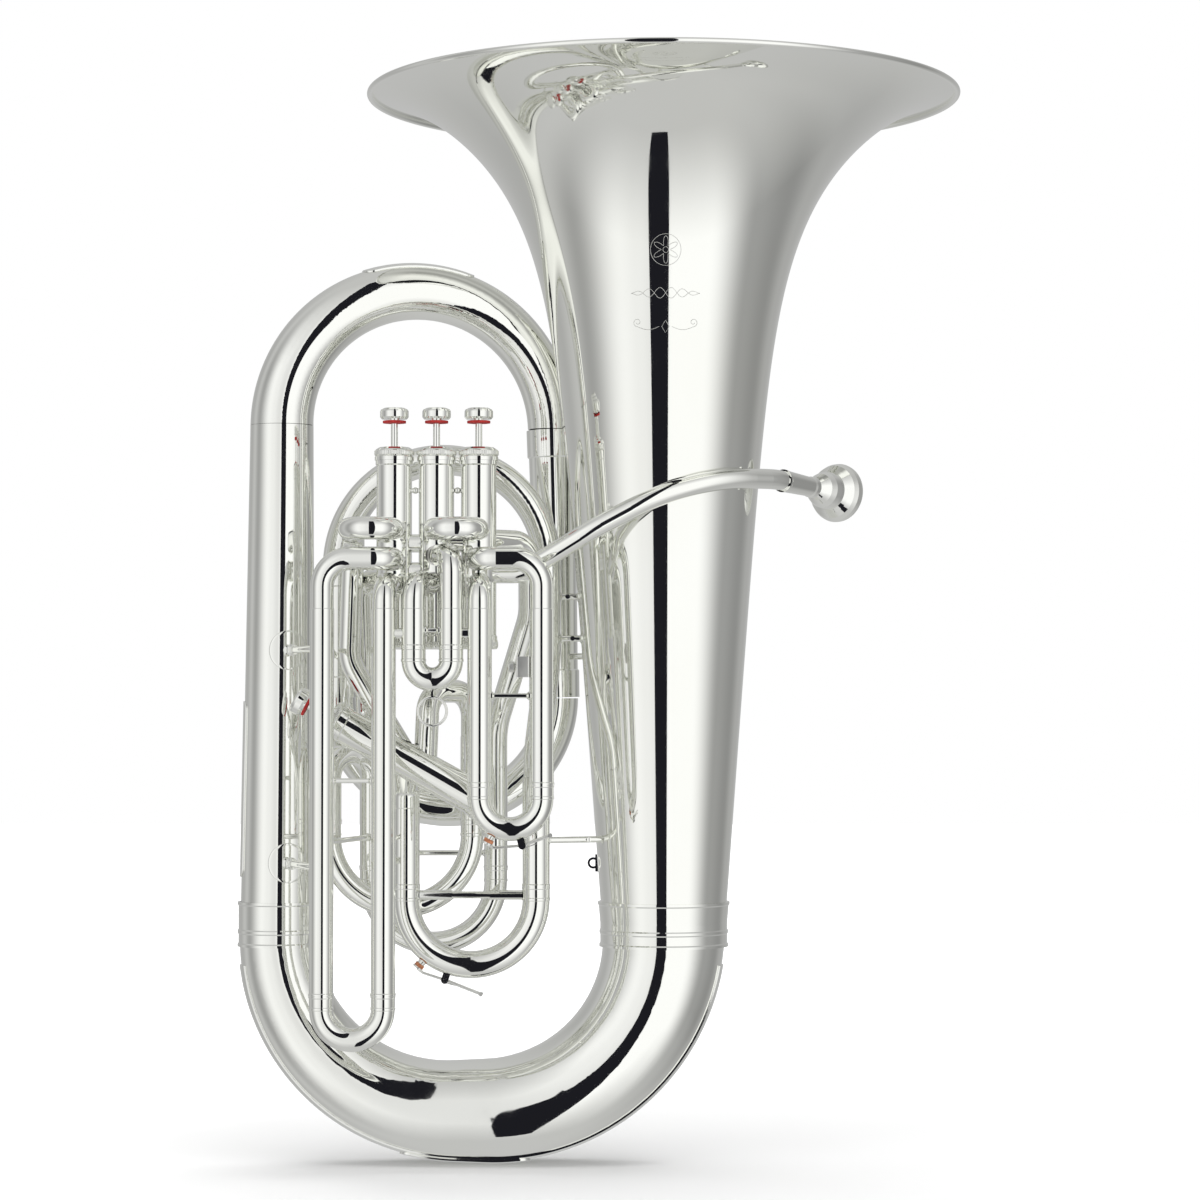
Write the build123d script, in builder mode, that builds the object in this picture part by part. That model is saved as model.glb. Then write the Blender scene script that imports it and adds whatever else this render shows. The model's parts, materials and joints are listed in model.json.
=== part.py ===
"""Compensating tuba in E flat: three upright piston valves and one piston set across the side.

Axes: +Z up the bell, +X toward the bell side, +Y toward the player's side (the back).
The instrument rests on its bottom bow; the origin is the centre of its footprint box.
All lengths are millimetres.
"""

import math
import os

from build123d import *

os.makedirs("parts", exist_ok=True)

# ---------------------------------------------------------------- driving dimensions
rim_radius = 241.3          # 19 inch bell
rim_height = 868.0          # bell rim plane above the floor
bell_x = 51.9               # bell axis
bell_foot = 195.0           # lower end of the bell tube
bell_foot_radius = 50.0
bell_wall = 0.9

branch_x = -260.9           # first branch, left side, at the bottom bow
branch_foot_radius = 30.0
bow_low = 43.27             # centre line of the bottom bow at its lowest
bow_corner = 143.0
guard_thickness = 1.3

rear_y = 50.0               # plane of the tube that climbs behind the bell
casing_y = -75.0            # plane of the three upright valves
slide_y = -118.0            # plane of the valve slides in front of them
fourth_y = -72.0            # plane of the fourth valve
main_y = -44.0              # plane of the main tuning slide
loop_y = -21.0              # plane of the fourth valve slide
return_y = 3.0              # plane of the compensating return slide

valve_pitch = 33.4
valve_x = [-95.7, -95.7 - valve_pitch, -95.7 - 2 * valve_pitch]
valve_floor = 414.0         # underside of the bottom caps
valve_top = 573.6           # top of the top caps
casing_radius = 14.0
casing_bore = 12.7
piston_radius = 12.65
cap_radius = 15.5
stem_radius = 2.75
stroke = 19.0
button_height = 596.0       # underside of the finger buttons at rest

tube_radius = 9.2           # valve tubing, outside
tube_bore = 8.6             # valve tubing, inside
leg_radius = 8.55           # inner slide legs, running 0.05 mm clear
leg_bore = 7.95
sleeve_radius = 9.55        # sleeves over the slide legs

upper_port = 507.6          # heights where the tubing joins the valves
middle_port = 484.0
lower_port = 464.5
cross_port = 487.5

fourth_cap = (-213.4, fourth_y, 360.1)          # upper cap of the fourth valve
fourth_angle = 29.0                             # fall of its axis toward the bell
fourth_length = 140.3
fourth_axis = Vector(math.cos(math.radians(fourth_angle)), 0, -math.sin(math.radians(fourth_angle)))


# ---------------------------------------------------------------- shared shapes
def bent_line(points, radii):
    """Centre line: straight runs between the points, joined by tangent arcs."""
    start = Vector(*points[0])
    with BuildLine() as path:
        for index in range(1, len(points) - 1):
            corner = Vector(*points[index])
            before = (Vector(*points[index - 1]) - corner).normalized()
            after = (Vector(*points[index + 1]) - corner).normalized()
            half = math.radians(before.get_angle(after)) / 2
            radius = radii[index - 1]
            first = corner + before * (radius / math.tan(half))
            last = corner + after * (radius / math.tan(half))
            middle = corner + (before + after).normalized() * (radius / math.sin(half) - radius)
            if (first - start).length > 0.01:
                Line(start, first)
            ThreePointArc(first, middle, last)
            start = last
        end = Vector(*points[-1])
        if (end - start).length > 0.01:
            Line(start, end)
    return path.line


def rod(points, radii, outer):
    """Solid round bar along a bent line."""
    line = bent_line(points, radii)
    with BuildPart() as bar:
        with BuildSketch(Plane(origin=line @ 0, z_dir=line % 0)):
            Circle(outer)
        sweep(path=line)
    return bar.part


def tube(points, radii, outer, inner):
    """Round tube of even bore along a bent line."""
    line = bent_line(points, radii)
    with BuildPart() as pipe:
        with BuildSketch(Plane(origin=line @ 0, z_dir=line % 0)):
            Circle(outer)
            Circle(inner, mode=Mode.SUBTRACT)
        sweep(path=line)
    return pipe.part


def taper(points, radii, start_radius, end_radius, steps, side=(0, 1, 0)):
    """Solid cone bent along a line, through evenly spaced circles."""
    line = bent_line(points, radii)
    with BuildPart() as horn:
        for index in range(steps + 1):
            share = index / steps
            section = Plane(origin=line @ share, x_dir=side, z_dir=line % share)
            with BuildSketch(section):
                Circle(start_radius + (end_radius - start_radius) * share)
        loft()
    return horn.part


def turned(origin, direction, outline):
    """Solid of revolution; the outline lists (radius, distance along the direction)."""
    base = Plane(origin=origin, z_dir=direction)
    side = Plane(origin=origin, x_dir=base.x_dir, z_dir=base.y_dir * -1)
    with BuildPart() as body:
        with BuildSketch(side):
            with BuildLine():
                Polyline(*outline, close=True)
            make_face()
        revolve(axis=Axis(origin, direction))
    return body.part


def ring_round(origin, direction, outer, inner, length):
    """Plain collar with a bore."""
    return turned(origin, direction, [(inner, 0), (outer, 0), (outer, length), (inner, length)])


def bar(origin, direction, radius, length):
    """Plain round bar."""
    return turned(origin, direction, [(0, 0), (radius, 0), (radius, length), (0, length)])


def along(origin, direction, distance):
    """Point at a distance from the origin along a direction."""
    return Vector(*origin) + Vector(*direction).normalized() * distance


def strut(start, end, radius, foot):
    """Round brace whose ends swell into small soldering flanges."""
    way = Vector(*end) - Vector(*start)
    span = way.length
    return turned(
        start,
        way,
        [
            (0, 0),
            (foot, 0),
            (foot, 0.8),
            (radius, 2.4),
            (radius, span - 2.4),
            (foot, span - 0.8),
            (foot, span),
            (0, span),
        ],
    )


def coil(origin, direction, radius, wire, height, turns):
    """Compression spring of round wire."""
    spine = Helix(pitch=height / turns, height=height, radius=radius, center=origin, direction=direction)
    with BuildPart() as spring:
        with BuildSketch(Plane(origin=spine @ 0, z_dir=spine % 0)):
            Circle(wire)
        sweep(path=spine, is_frenet=True)
    return spring.part


def casing_void(x):
    """Space taken by one upright valve casing, 0.05 mm clear of its wall."""
    return bar((x, casing_y, valve_floor - 5), (0, 0, 1), casing_radius + 0.05, 170)


def fourth_void():
    """Space taken by the fourth valve casing, 0.05 mm clear of its wall."""
    return bar(along(fourth_cap, fourth_axis, -5), fourth_axis, casing_radius + 0.05, 160)


def fourth_point(distance):
    """Point on the fourth valve's axis at a distance below its upper cap."""
    return tuple(along(fourth_cap, fourth_axis, distance))


def bell_radius(drop):
    """Outside radius of the bell at a distance below its rim."""
    cone = bell_foot_radius + 0.0738 * (rim_height - bell_foot - drop)
    return cone + 118.0 * math.exp(-drop / 68.0) + 21.0 * math.exp(-drop / 7.0)


# ---------------------------------------------------------------- bell
drops = [0, 1.5, 3.5, 6, 9, 13, 18, 25, 35, 48, 65, 85, 110, 140, 180, 230, 300, 390, 500, 600]
rim_edge = rim_radius - 3.8
scale_at_rim = rim_edge - bell_radius(0)
bell_outside = []
bell_inside = []
for drop in drops:
    near_rim = math.exp(-drop / 7.0)
    radius = bell_radius(drop) + scale_at_rim * near_rim
    bell_outside.append((bell_x + radius, rim_height - 1.0 - drop * (1 - 1.0 / 673)))
    bell_inside.append((bell_x + radius - bell_wall * (1 - 0.35 * near_rim), rim_height - drop))

with BuildPart() as bell:
    with BuildSketch(Plane.XZ):
        with BuildLine():
            outside = Spline(*bell_outside, (bell_x + bell_foot_radius, bell_foot))
            Line(outside @ 1, (bell_x + bell_foot_radius - bell_wall, bell_foot))
            inside = Spline(*bell_inside, (bell_x + bell_foot_radius - bell_wall, bell_foot))
            Line(outside @ 0, inside @ 0)
        make_face()
    revolve(axis=Axis((bell_x, 0, 0), (0, 0, 1)))
bell.part.label = "bell"
export_step(bell.part, "parts/bell.step")

bead_radius = 2.3
bead_flat = 0.2             # the bead is planished flat on top, so the horn can stand on its bell
with BuildPart() as bell_rim_bead:
    with BuildSketch(Plane.XZ):
        with Locations((bell_x + rim_radius - bead_radius, rim_height - bead_radius + bead_flat)):
            Circle(bead_radius)
        with Locations((bell_x + rim_edge + 0.02 - 10, rim_height - bead_radius)):
            Rectangle(20, 20, mode=Mode.SUBTRACT)
        with Locations((bell_x + rim_radius, rim_height + 5)):
            Rectangle(20, 10, mode=Mode.SUBTRACT)
    revolve(axis=Axis((bell_x, 0, 0), (0, 0, 1)))
bell_rim_bead.part.label = "bell_rim_bead"
export_step(bell_rim_bead.part, "parts/bell_rim_bead.step")

# ---------------------------------------------------------------- bottom bow and its guard
bow_line = [
    (bell_x, 0, bell_foot - 0.1),
    (bell_x, 0, bow_low),
    (branch_x, 0, bow_low),
    (branch_x, 0, bell_foot - 0.1),
]
bow_bends = [bow_corner, bow_corner]


def bow_cone(swell):
    """Bottom bow as a solid, with its radius swollen by a set amount."""
    return taper(
        bow_line,
        bow_bends,
        bell_foot_radius + swell,
        branch_foot_radius + swell,
        24,
    )


def socket(x, radius, slope):
    """Ferrule at one end of the bottom bow, beaded, its bore following the tube it holds."""
    low = bell_foot - 20
    rise = slope * 16
    return turned(
        (x, 0, low),
        (0, 0, 1),
        [
            (radius - 0.4, 0),
            (radius + 2.3, 0),
            (radius + 2.3, 2),
            (radius + 1.5, 3),
            (radius + 1.5, 10),
            (radius + 2.2, 11),
            (radius + 2.2, 13),
            (radius + 1.5, 14),
            (radius + 1.5, 19),
            (radius + 1.5 + rise, 33),
            (radius + 2.3 + rise, 34),
            (radius + 2.3 + rise, 36),
            (radius + 0.1 + rise, 36),
            (radius + 0.1, 20),
            (radius - 0.4, 20),
        ],
    )


bow_solid = bow_cone(0)
bow_air = bow_cone(-0.9)
bow_skin = bow_cone(0.05)
bow_plate = bow_cone(0.05 + guard_thickness)
bow_shoe = bow_cone(0.05 + 2 * guard_thickness)

with BuildPart() as bottom_bow:
    add(bow_solid)
    add(socket(bell_x, bell_foot_radius, 0.0738))
    add(socket(branch_x, branch_foot_radius + 0.1, 0))
    add(bow_air, mode=Mode.SUBTRACT)
bottom_bow.part.label = "bottom_bow"
export_step(bottom_bow.part, "parts/bottom_bow.step")

with BuildPart() as guard_zone:
    with BuildSketch(Plane.XZ.offset(-17)):
        with BuildLine():
            Polyline(
                (branch_x - 60, 160),
                (branch_x - 60, -60),
                (bell_x + 80, -60),
                (bell_x + 80, 160),
                (bell_x + 20, 160),
                (bell_x - 20, 100),
                (bell_x - 90, 40),
                (branch_x + 90, 40),
                (branch_x + 20, 100),
                (branch_x - 20, 160),
                close=True,
            )
        make_face()
    extrude(amount=34)

with BuildPart() as shoe_zone:
    with BuildSketch(Plane.XY.offset(-20)):
        with Locations(((bell_x + branch_x) / 2 - 4, 0)):
            RectangleRounded(106, 26, 9)
    extrude(amount=60)

with BuildPart() as shoe_plate:
    add(bow_shoe)
    add(bow_cone(0.1), mode=Mode.SUBTRACT)
    add(shoe_zone.part, mode=Mode.INTERSECT)

with BuildPart() as bottom_bow_guard:
    add(bow_plate)
    add(bow_skin, mode=Mode.SUBTRACT)
    add(guard_zone.part, mode=Mode.INTERSECT)
    add(shoe_plate.part)
bottom_bow_guard.part.label = "bottom_bow_guard"
export_step(bottom_bow_guard.part, "parts/bottom_bow_guard.step")

# ---------------------------------------------------------------- first branch and top bow
branch_top = 597.0
branch_top_x = -258.5
branch_top_radius = 25.6
branch_line = [(branch_x, 0, bell_foot + 0.2), (branch_top_x, 0, branch_top)]

with BuildPart() as first_branch:
    add(taper(branch_line, [], branch_foot_radius, branch_top_radius, 1))
    add(taper(branch_line, [], branch_foot_radius - 0.9, branch_top_radius - 0.9, 1), mode=Mode.SUBTRACT)
first_branch.part.label = "first_branch"
export_step(first_branch.part, "parts/first_branch.step")

bow_right_x = -39.8
bow_side = (math.sin(math.atan2(rear_y, bow_right_x - branch_top_x)),
            -math.cos(math.atan2(rear_y, bow_right_x - branch_top_x)), 0)
top_bow_radius = math.hypot(bow_right_x - branch_top_x, rear_y) / 2
top_line = [
    (branch_top_x, 0, branch_top + 0.3),
    (branch_top_x, 0, branch_top + top_bow_radius),
    (bow_right_x, rear_y, branch_top + top_bow_radius),
    (bow_right_x, rear_y, branch_top + 0.8),
]


def top_cone(swell):
    """Top bow as a solid, with its radius swollen by a set amount."""
    return taper(
        top_line,
        [top_bow_radius - 0.2, top_bow_radius - 0.2],
        branch_top_radius + swell,
        19.6 + swell,
        20,
        bow_side,
    )


with BuildPart() as top_bow:
    add(top_cone(0))
    add(top_cone(-0.9), mode=Mode.SUBTRACT)
top_bow.part.label = "top_bow"
export_step(top_bow.part, "parts/top_bow.step")

with BuildPart() as side_strip:
    add(taper(branch_line, [], branch_foot_radius + 1.2, branch_top_radius + 1.2, 1))
    add(taper(branch_line, [], branch_foot_radius + 0.05, branch_top_radius + 0.05, 1), mode=Mode.SUBTRACT)
    with BuildSketch(Plane.YZ.offset(branch_x - 40)):
        with Locations((0, 302)):
            RectangleRounded(26, 142, 8)
    extrude(amount=40, mode=Mode.INTERSECT)

with BuildPart() as branch_guards:
    add(top_cone(1.25))
    add(top_cone(0.05), mode=Mode.SUBTRACT)
    with BuildSketch(Plane.XY.offset(branch_top + 118)):
        with Locations(Location(((branch_top_x + bow_right_x) / 2, rear_y / 2), 12.9)):
            RectangleRounded(92, 24, 8)
    extrude(amount=60, mode=Mode.INTERSECT)
    add(side_strip.part)
branch_guards.part.label = "branch_guards"
export_step(branch_guards.part, "parts/branch_guards.step")

# ---------------------------------------------------------------- second branch, behind the bell
lower_right_x = -34.4
lower_left = (-214.0, 30.0)
lower_reach = math.hypot(lower_left[0] - lower_right_x, lower_left[1] - rear_y)
lower_centre = 376.3


def branch_outline(start, end, wall, length, collar):
    """Profile of a straight conical branch with a ferrule collar at each end."""
    slope = (end - start) / length
    return [
        (start - wall, 0),
        (start + 1.2, 0),
        (start + 1.2 + slope * collar, collar),
        (start + slope * (collar + 1), collar + 1),
        (end - slope * (collar + 1), length - collar - 1),
        (end + 1.2 - slope * collar, length - collar),
        (end + 1.2, length),
        (end - wall, length),
    ]


with BuildPart() as second_branch:
    second_line = [(bow_right_x, rear_y, branch_top), (lower_right_x, rear_y, lower_centre)]
    second_way = Vector(*second_line[1]) - Vector(*second_line[0])
    add(turned(second_line[0], second_way, branch_outline(19.6, 16.6, 0.8, second_way.length, 22)))
second_branch.part.label = "second_branch"
export_step(second_branch.part, "parts/second_branch.step")

lower_side_angle = math.atan2(lower_left[1] - rear_y, lower_left[0] - lower_right_x)
lower_side = (math.sin(lower_side_angle), -math.cos(lower_side_angle), 0)
lower_line = [
    (lower_right_x, rear_y, lower_centre - 0.8),
    (lower_right_x, rear_y, lower_centre - lower_reach / 2),
    (lower_left[0], lower_left[1], lower_centre - lower_reach / 2),
    (lower_left[0], lower_left[1], lower_centre - 0.1),
]

with BuildPart() as inner_lower_bow:
    lower_bends = [lower_reach / 2 - 0.2, lower_reach / 2 - 0.2]
    add(taper(lower_line, lower_bends, 16.6, 14.8, 20, lower_side))
    add(taper(lower_line, lower_bends, 15.8, 14.0, 20, lower_side), mode=Mode.SUBTRACT)
inner_lower_bow.part.label = "inner_lower_bow"
export_step(inner_lower_bow.part, "parts/inner_lower_bow.step")

upper_centre = 483.8
upper_right = (-42.6, 5.0)
upper_reach = math.hypot(upper_right[0] - lower_left[0], upper_right[1] - lower_left[1])
upper_side_angle = math.atan2(upper_right[1] - lower_left[1], upper_right[0] - lower_left[0])
upper_side = (math.sin(upper_side_angle), -math.cos(upper_side_angle), 0)

with BuildPart() as third_branch:
    third_line = [(*lower_left, lower_centre), (*lower_left, upper_centre - 0.1)]
    third_way = Vector(*third_line[1]) - Vector(*third_line[0])
    add(turned(third_line[0], third_way, branch_outline(14.8, 13.4, 0.8, third_way.length, 16)))
third_branch.part.label = "third_branch"
export_step(third_branch.part, "parts/third_branch.step")

main_right_x = -50.7
main_left_x = -154.4
main_sleeve_end = 225.4
upper_line = [
    (*lower_left, upper_centre),
    (*lower_left, upper_centre + upper_reach / 2),
    (*upper_right, upper_centre + upper_reach / 2),
    (*upper_right, 400.0),
    (main_right_x, main_y, 330.0),
    (main_right_x, main_y, 312.0),
]
upper_bends = [upper_reach / 2 - 0.2, upper_reach / 2 - 0.2, 50, 30]

with BuildPart() as inner_upper_bow:
    add(taper(upper_line, upper_bends, 13.4, 10.0, 34, upper_side))
    add(taper(upper_line, upper_bends, 12.6, 9.2, 34, upper_side), mode=Mode.SUBTRACT)
inner_upper_bow.part.label = "inner_upper_bow"
export_step(inner_upper_bow.part, "parts/inner_upper_bow.step")

# ---------------------------------------------------------------- upright valve casings
front_ports = [
    [upper_port, middle_port, lower_port],
    [upper_port, cross_port, 466.0],
    [upper_port, middle_port, lower_port],
]
link_ports = [497.6, 475.5]
return_port = 500.0
lead_port = 474.0
rear_port = 470.0
back_right = (39.7, 35.0, 0)
back_left = (-27.5, 39.0, 0)


def casing(index):
    """One upright casing: threaded-looking collars at both ends and its tubing ports."""
    x = valve_x[index]
    low = valve_floor + 7
    high = valve_top - 10.6
    with BuildPart() as shell:
        add(
            turned(
                (x, casing_y, 0),
                (0, 0, 1),
                [
                    (casing_bore, low),
                    (casing_radius + 0.8, low),
                    (casing_radius + 0.8, low + 3),
                    (casing_radius, low + 4),
                    (casing_radius, high - 4),
                    (casing_radius + 0.8, high - 3),
                    (casing_radius + 0.8, high),
                    (casing_bore, high),
                ],
            )
        )
        for height in front_ports[index]:
            add(bar((x, casing_y, height), (0, -1, 0), 7.9, 20), mode=Mode.SUBTRACT)
        if index > 0:
            for height in link_ports:
                add(bar((x, casing_y, height), (1, 0, 0), 6.4, 20), mode=Mode.SUBTRACT)
        if index < 2:
            for height in link_ports:
                add(bar((x, casing_y, height), (-1, 0, 0), 6.4, 20), mode=Mode.SUBTRACT)
        if index == 0:
            add(bar((x, casing_y, lead_port), (1, -0.05, 0), 7.4, 20), mode=Mode.SUBTRACT)
            add(bar((x, casing_y, return_port), back_right, 7.9, 20), mode=Mode.SUBTRACT)
        if index == 2:
            add(bar((x, casing_y, rear_port), back_left, 7.9, 20), mode=Mode.SUBTRACT)
    return shell.part


with BuildPart() as valve_casing_1:
    add(casing(0))
valve_casing_1.part.label = "valve_casing_1"
export_step(valve_casing_1.part, "parts/valve_casing_1.step")

with BuildPart() as valve_casing_2:
    add(casing(1))
valve_casing_2.part.label = "valve_casing_2"
export_step(valve_casing_2.part, "parts/valve_casing_2.step")

with BuildPart() as valve_casing_3:
    add(casing(2))
valve_casing_3.part.label = "valve_casing_3"
export_step(valve_casing_3.part, "parts/valve_casing_3.step")


def link(index):
    """Two short knuckles and a spacer ball between neighbouring casings."""
    left = valve_x[index + 1]
    with BuildPart() as knuckles:
        for height in link_ports:
            add(tube([(left, casing_y, height), (left + valve_pitch, casing_y, height)], [], 7.2, 6.4))
        add(bar((left, casing_y, 539.5), (1, 0, 0), 1.8, valve_pitch))
        with Locations((left + valve_pitch / 2, casing_y, 539.5)):
            Sphere(2.6)
        add(casing_void(left), mode=Mode.SUBTRACT)
        add(casing_void(left + valve_pitch), mode=Mode.SUBTRACT)
    return knuckles.part


with BuildPart() as valve_links:
    add(link(0))
    add(link(1))
valve_links.part.label = "valve_links"
export_step(valve_links.part, "parts/valve_links.step")

# ---------------------------------------------------------------- fourth valve casing
fourth_entries = [
    (72.5, (-0.3, 0.1, 0.95)),
    (27, (0.1, 1, 0.15)),
    (86.2, (0.05, 0.2, 1)),
    (69.1, (-0.1, 0.77, -0.63)),
]

with BuildPart() as valve_casing_4:
    add(
        turned(
            fourth_cap,
            fourth_axis,
            [
                (casing_bore, 10.6),
                (casing_radius + 0.8, 10.6),
                (casing_radius + 0.8, 13.6),
                (casing_radius, 14.6),
                (casing_radius, fourth_length - 11),
                (casing_radius + 0.8, fourth_length - 10),
                (casing_radius + 0.8, fourth_length - 7),
                (casing_bore, fourth_length - 7),
            ],
        )
    )
    for distance, way in fourth_entries:
        add(bar(fourth_point(distance), way, 7.6, 22), mode=Mode.SUBTRACT)
valve_casing_4.part.label = "valve_casing_4"
export_step(valve_casing_4.part, "parts/valve_casing_4.step")

# ---------------------------------------------------------------- caps
upright_tops = [(x, casing_y, valve_top) for x in valve_x]
valve_tops = [*upright_tops, fourth_cap]
valve_down = [(0, 0, -1), (0, 0, -1), (0, 0, -1), tuple(fourth_axis)]
valve_lengths = [valve_top - valve_floor] * 3 + [fourth_length]


def top_cap(index):
    """Knurled top cap with a spigot inside the casing and a guide hole for the stem."""
    return turned(
        valve_tops[index],
        valve_down[index],
        [
            (stem_radius + 0.05, 0.6),
            (stem_radius + 2.2, 0.0),
            (cap_radius - 3.5, 0.0),
            (cap_radius - 1.2, 1.4),
            (cap_radius, 2.6),
            (cap_radius, 6.2),
            (cap_radius - 0.5, 6.9),
            (cap_radius, 7.6),
            (cap_radius, 10.55),
            (casing_bore - 0.05, 10.55),
            (casing_bore - 0.05, 15.5),
            (casing_bore - 2.0, 15.5),
            (casing_bore - 2.0, 9.0),
            (stem_radius + 0.05, 9.0),
        ],
    )


def bottom_cap(index):
    """Bottom cap with a shallow well under the spring and a vent hole."""
    length = valve_lengths[index]
    return turned(
        valve_tops[index],
        valve_down[index],
        [
            (1.6, length),
            (4.0, length),
            (5.0, length - 1.6),
            (9.0, length - 1.6),
            (10.5, length),
            (cap_radius - 1.2, length),
            (cap_radius - 0.3, length - 1.2),
            (cap_radius - 0.3, length - 6.95),
            (casing_bore - 0.05, length - 6.95),
            (casing_bore - 0.05, length - 11.0),
            (casing_bore - 2.0, length - 11.0),
            (casing_bore - 2.0, length - 4.0),
            (1.6, length - 4.0),
        ],
    )


with BuildPart() as top_caps:
    for index in range(4):
        add(top_cap(index))
top_caps.part.label = "top_caps"
export_step(top_caps.part, "parts/top_caps.step")

with BuildPart() as bottom_caps:
    for index in range(4):
        add(bottom_cap(index))
bottom_caps.part.label = "bottom_caps"
export_step(bottom_caps.part, "parts/bottom_caps.step")

# ---------------------------------------------------------------- pistons, springs, buttons
piston_top = 17.0           # from the top of the cap to the head of the piston at rest


def piston(index):
    """Piston with straight passages, a hollow skirt for its spring and a guide boss."""
    length = valve_lengths[index]
    foot = length - 11.5 - stroke
    with BuildPart() as slug:
        add(
            turned(
                valve_tops[index],
                valve_down[index],
                [
                    (0, piston_top),
                    (piston_radius - 0.8, piston_top),
                    (piston_radius, piston_top + 0.8),
                    (piston_radius, foot - 0.8),
                    (piston_radius - 0.8, foot),
                    (10.2, foot),
                    (10.2, foot - 24),
                    (0, foot - 24),
                ],
            )
        )
        across = (0, 1, 0)
        for distance in (30.0, 51.0, 71.0):
            start = along(along(valve_tops[index], valve_down[index], distance), across, -20)
            add(bar(start, across, 7.6, 40), mode=Mode.SUBTRACT)
    return slug.part


def button(index):
    """Stem and finger button in one piece, screwed into the head of the piston."""
    rise = button_height - valve_top
    return turned(
        valve_tops[index],
        valve_down[index],
        [
            (0, -rise - 8.4),
            (9.0, -rise - 8.4),
            (10.6, -rise - 7.6),
            (11.3, -rise - 6.2),
            (11.3, -rise - 1.6),
            (10.0, -rise),
            (stem_radius + 1.4, -rise),
            (stem_radius + 1.4, -rise + 0.8),
            (stem_radius, -rise + 1.2),
            (stem_radius, piston_top),
            (0, piston_top),
        ],
    )


def felt_washer(index):
    """Felt washer round the stem, gripped under the button."""
    rise = button_height - valve_top
    return turned(
        valve_tops[index],
        valve_down[index],
        [
            (stem_radius + 0.02, -rise + 1.3),
            (9.2, -rise + 1.3),
            (9.2, -rise + 3.1),
            (stem_radius + 0.02, -rise + 3.1),
        ],
    )


def spring(index):
    """Return spring between the bottom cap and the hollow of the piston."""
    length = valve_lengths[index]
    height = stroke + 24 + 7.5 - 1.8
    start = along(valve_tops[index], valve_down[index], length - 4.0 - 0.9)
    up = Vector(*valve_down[index]) * -1
    return coil(start, up, 8.3, 0.6, height, 8)


with BuildPart() as piston_1:
    add(piston(0))
piston_1.part.label = "piston_1"
export_step(piston_1.part, "parts/piston_1.step")

with BuildPart() as piston_2:
    add(piston(1))
piston_2.part.label = "piston_2"
export_step(piston_2.part, "parts/piston_2.step")

with BuildPart() as piston_3:
    add(piston(2))
piston_3.part.label = "piston_3"
export_step(piston_3.part, "parts/piston_3.step")

with BuildPart() as piston_4:
    add(piston(3))
piston_4.part.label = "piston_4"
export_step(piston_4.part, "parts/piston_4.step")

with BuildPart() as finger_button_1:
    add(button(0))
finger_button_1.part.label = "finger_button_1"
export_step(finger_button_1.part, "parts/finger_button_1.step")

with BuildPart() as finger_button_2:
    add(button(1))
finger_button_2.part.label = "finger_button_2"
export_step(finger_button_2.part, "parts/finger_button_2.step")

with BuildPart() as finger_button_3:
    add(button(2))
finger_button_3.part.label = "finger_button_3"
export_step(finger_button_3.part, "parts/finger_button_3.step")

with BuildPart() as finger_button_4:
    add(button(3))
finger_button_4.part.label = "finger_button_4"
export_step(finger_button_4.part, "parts/finger_button_4.step")

with BuildPart() as button_felt_1:
    add(felt_washer(0))
button_felt_1.part.label = "button_felt_1"
export_step(button_felt_1.part, "parts/button_felt_1.step")

with BuildPart() as button_felt_2:
    add(felt_washer(1))
button_felt_2.part.label = "button_felt_2"
export_step(button_felt_2.part, "parts/button_felt_2.step")

with BuildPart() as button_felt_3:
    add(felt_washer(2))
button_felt_3.part.label = "button_felt_3"
export_step(button_felt_3.part, "parts/button_felt_3.step")

with BuildPart() as button_felt_4:
    add(felt_washer(3))
button_felt_4.part.label = "button_felt_4"
export_step(button_felt_4.part, "parts/button_felt_4.step")

with BuildPart() as valve_springs:
    for index in range(4):
        add(spring(index))
valve_springs.part.label = "valve_springs"
export_step(valve_springs.part, "parts/valve_springs.step")

# ---------------------------------------------------------------- fixed valve tubing
third_legs = (-216.0, -168.0)
second_legs = (-144.7, -115.5)
first_legs = (-93.4, -45.2)
third_sleeve_end = 144.7
second_sleeve_end = 414.7
first_sleeve_end = 308.0
sleeve_head = 445.0


def sleeve(x, y, low, high, radius=sleeve_radius, bore=tube_bore):
    """Outer sleeve of a slide leg, with a raised ring at its open end."""
    return turned(
        (x, y, low),
        (0, 0, 1),
        [
            (bore, 0),
            (radius + 0.5, 0),
            (radius + 0.5, 1.4),
            (radius, 2.0),
            (radius, high - low - 0.6),
            (radius - 0.3, high - low),
            (bore, high - low),
        ],
    )


def spindle(legs, height):
    """Thin cross brace between the two sleeves of a slide."""
    reach = sleeve_radius - 0.4
    return strut((legs[0] + reach, slide_y, height), (legs[1] - reach, slide_y, height), 1.9, 3.4)


with BuildPart() as third_slide_tubes:
    add(
        tube(
            [
                (third_legs[0], slide_y, third_sleeve_end),
                (third_legs[0], slide_y, middle_port),
                (valve_x[2], slide_y, middle_port),
                (valve_x[2], casing_y, middle_port),
            ],
            [22, 15],
            tube_radius,
            tube_bore,
        )
    )
    add(
        tube(
            [
                (third_legs[1], slide_y, third_sleeve_end),
                (third_legs[1], slide_y, lower_port),
                (valve_x[2], casing_y, lower_port),
            ],
            [16],
            tube_radius,
            tube_bore,
        )
    )
    for x in third_legs:
        add(sleeve(x, slide_y, third_sleeve_end, sleeve_head))
    add(spindle(third_legs, 311))
    add(casing_void(valve_x[2]), mode=Mode.SUBTRACT)
third_slide_tubes.part.label = "third_slide_tubes"
export_step(third_slide_tubes.part, "parts/third_slide_tubes.step")

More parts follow.
